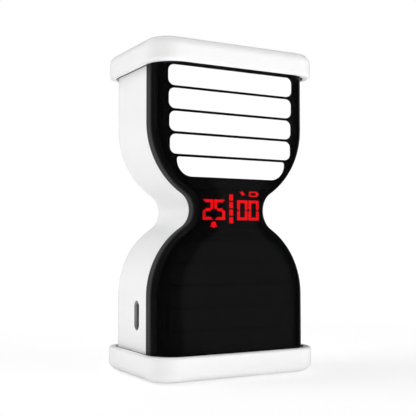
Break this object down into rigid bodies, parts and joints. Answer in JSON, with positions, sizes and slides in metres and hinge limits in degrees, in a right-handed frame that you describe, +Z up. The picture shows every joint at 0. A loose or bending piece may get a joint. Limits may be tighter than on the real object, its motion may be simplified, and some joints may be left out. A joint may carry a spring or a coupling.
{
  "type": "visual countdown timer",
  "caption": "Hourglass-shaped desk timer with white end caps, a smoked front cover, stacked light bars, a red digital display in the waist and push keys at the rear.",
  "frame": {"origin": "middle of the lower pad's face, on the surface that the timer stands on", "axes": "+X to the right seen from the front, the front faces -Y, +Z up"},
  "size_m": [0.0598, 0.0418, 0.105],
  "materials": {
    "white_shell": "satin white",
    "smoked_cover": "glossy smoked black, lets bright light through",
    "grip_pad": "matte",
    "screw_steel": "plain",
    "black_plastic": "matte black",
    "lit_bar": "diffusing, lit",
    "unlit_bar": "tinted diffuser, unlit",
    "led_package": "plain",
    "red_light": "lit red",
    "dark_red": "unlit",
    "circuit_board": "solder mask",
    "chip_black": "moulded",
    "socket_steel": "plated",
    "battery_foil": "foil",
    "foam": "foam",
    "connector_white": "moulded",
    "lead_red": "insulation",
    "lead_black": "insulation",
    "speaker_can": "matte"
  },
  "bodies": {
    "timer": {"rear_housing": "white_shell", "top_cap": "white_shell", "bottom_cap": "white_shell", "front_cover": "smoked_cover", "top_pad": "grip_pad", "bottom_pad": "grip_pad", "top_cap_screws": "screw_steel", "bottom_cap_screws": "screw_steel", "board_screws": "screw_steel", "key_board_screws": "screw_steel", "upper_light_frame": "black_plastic", "lower_light_frame": "black_plastic", "display_module": "black_plastic", "key_header": "black_plastic", "usb_tongue": "black_plastic", "upper_bar_1": "lit_bar", "upper_bar_2": "lit_bar", "upper_bar_3": "lit_bar", "upper_bar_4": "lit_bar", "upper_bar_5": "lit_bar", "lower_bar_1": "unlit_bar", "lower_bar_2": "unlit_bar", "lower_bar_3": "unlit_bar", "lower_bar_4": "unlit_bar", "lower_bar_5": "unlit_bar", "upper_leds": "led_package", "lower_leds": "led_package", "lit_segments": "red_light", "divider_dashes": "red_light", "status_icons": "red_light", "unlit_segments": "dark_red", "main_board": "circuit_board", "key_board": "circuit_board", "controller_chip": "chip_black", "motion_sensor": "chip_black", "usb_shell": "socket_steel", "tact_switches": "socket_steel", "battery": "battery_foil", "battery_tape": "foam", "battery_header": "connector_white", "battery_plug": "connector_white", "battery_lead_red": "lead_red", "battery_lead_black": "lead_black", "speaker": "speaker_can"},
    "minus_button": {"minus_key": "white_shell", "minus_plunger": "black_plastic"},
    "set_button": {"set_key": "white_shell", "set_plunger": "black_plastic"},
    "plus_button": {"plus_key": "white_shell", "plus_plunger": "black_plastic"}
  },
  "joints": [
    {"name": "minus_press", "type": "slide", "parent": "timer", "child": "minus_button", "axis": [0, -1, 0], "range_m": [0, 0.0006], "stiffness_N_per_m": 1500, "springref_m": -0.0002},
    {"name": "set_press", "type": "slide", "parent": "timer", "child": "set_button", "axis": [0, -1, 0], "range_m": [0, 0.0006], "stiffness_N_per_m": 1500, "springref_m": -0.0002},
    {"name": "plus_press", "type": "slide", "parent": "timer", "child": "plus_button", "axis": [0, -1, 0], "range_m": [0, 0.0006], "stiffness_N_per_m": 1500, "springref_m": -0.0002}
  ]
}
